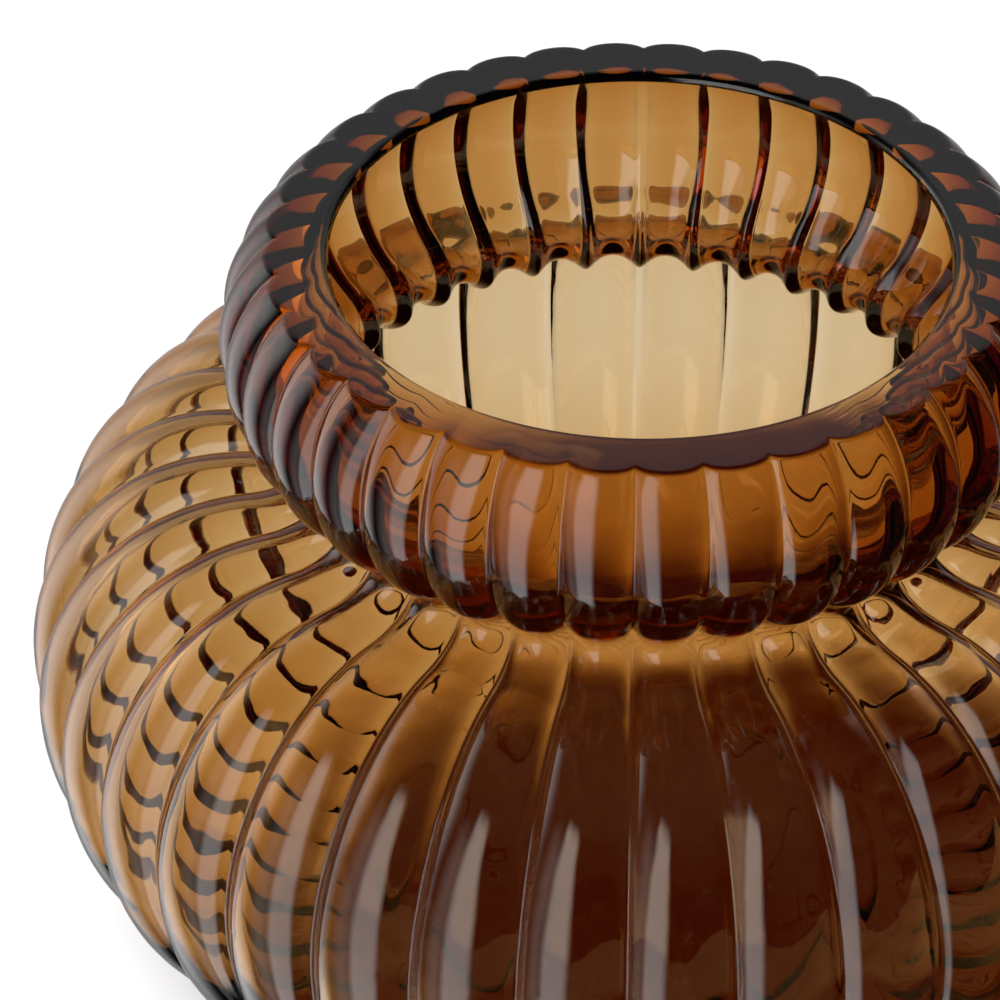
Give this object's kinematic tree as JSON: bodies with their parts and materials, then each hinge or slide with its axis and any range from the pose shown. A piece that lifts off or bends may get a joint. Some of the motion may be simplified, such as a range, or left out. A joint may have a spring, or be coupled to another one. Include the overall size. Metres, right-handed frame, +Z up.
{
  "type": "vase",
  "caption": "Round hand blown vase of amber glass, with a ribbed bulb, a waisted neck and a ribbed collar with a wide ground rim.",
  "frame": {"origin": "centre of the foot, on the surface that the vase stands on", "axes": "+Z up along the vase's axis of revolution; a groove between two ribs faces +X, +Y, -X and -Y"},
  "size_m": [0.2192, 0.2192, 0.146],
  "materials": {
    "amber_glass": "clear amber brown glass, glossy, with a ground and polished rim"
  },
  "bodies": {
    "root": {"foot": "amber_glass", "body": "amber_glass", "neck": "amber_glass", "collar": "amber_glass"}
  },
  "joints": []
}
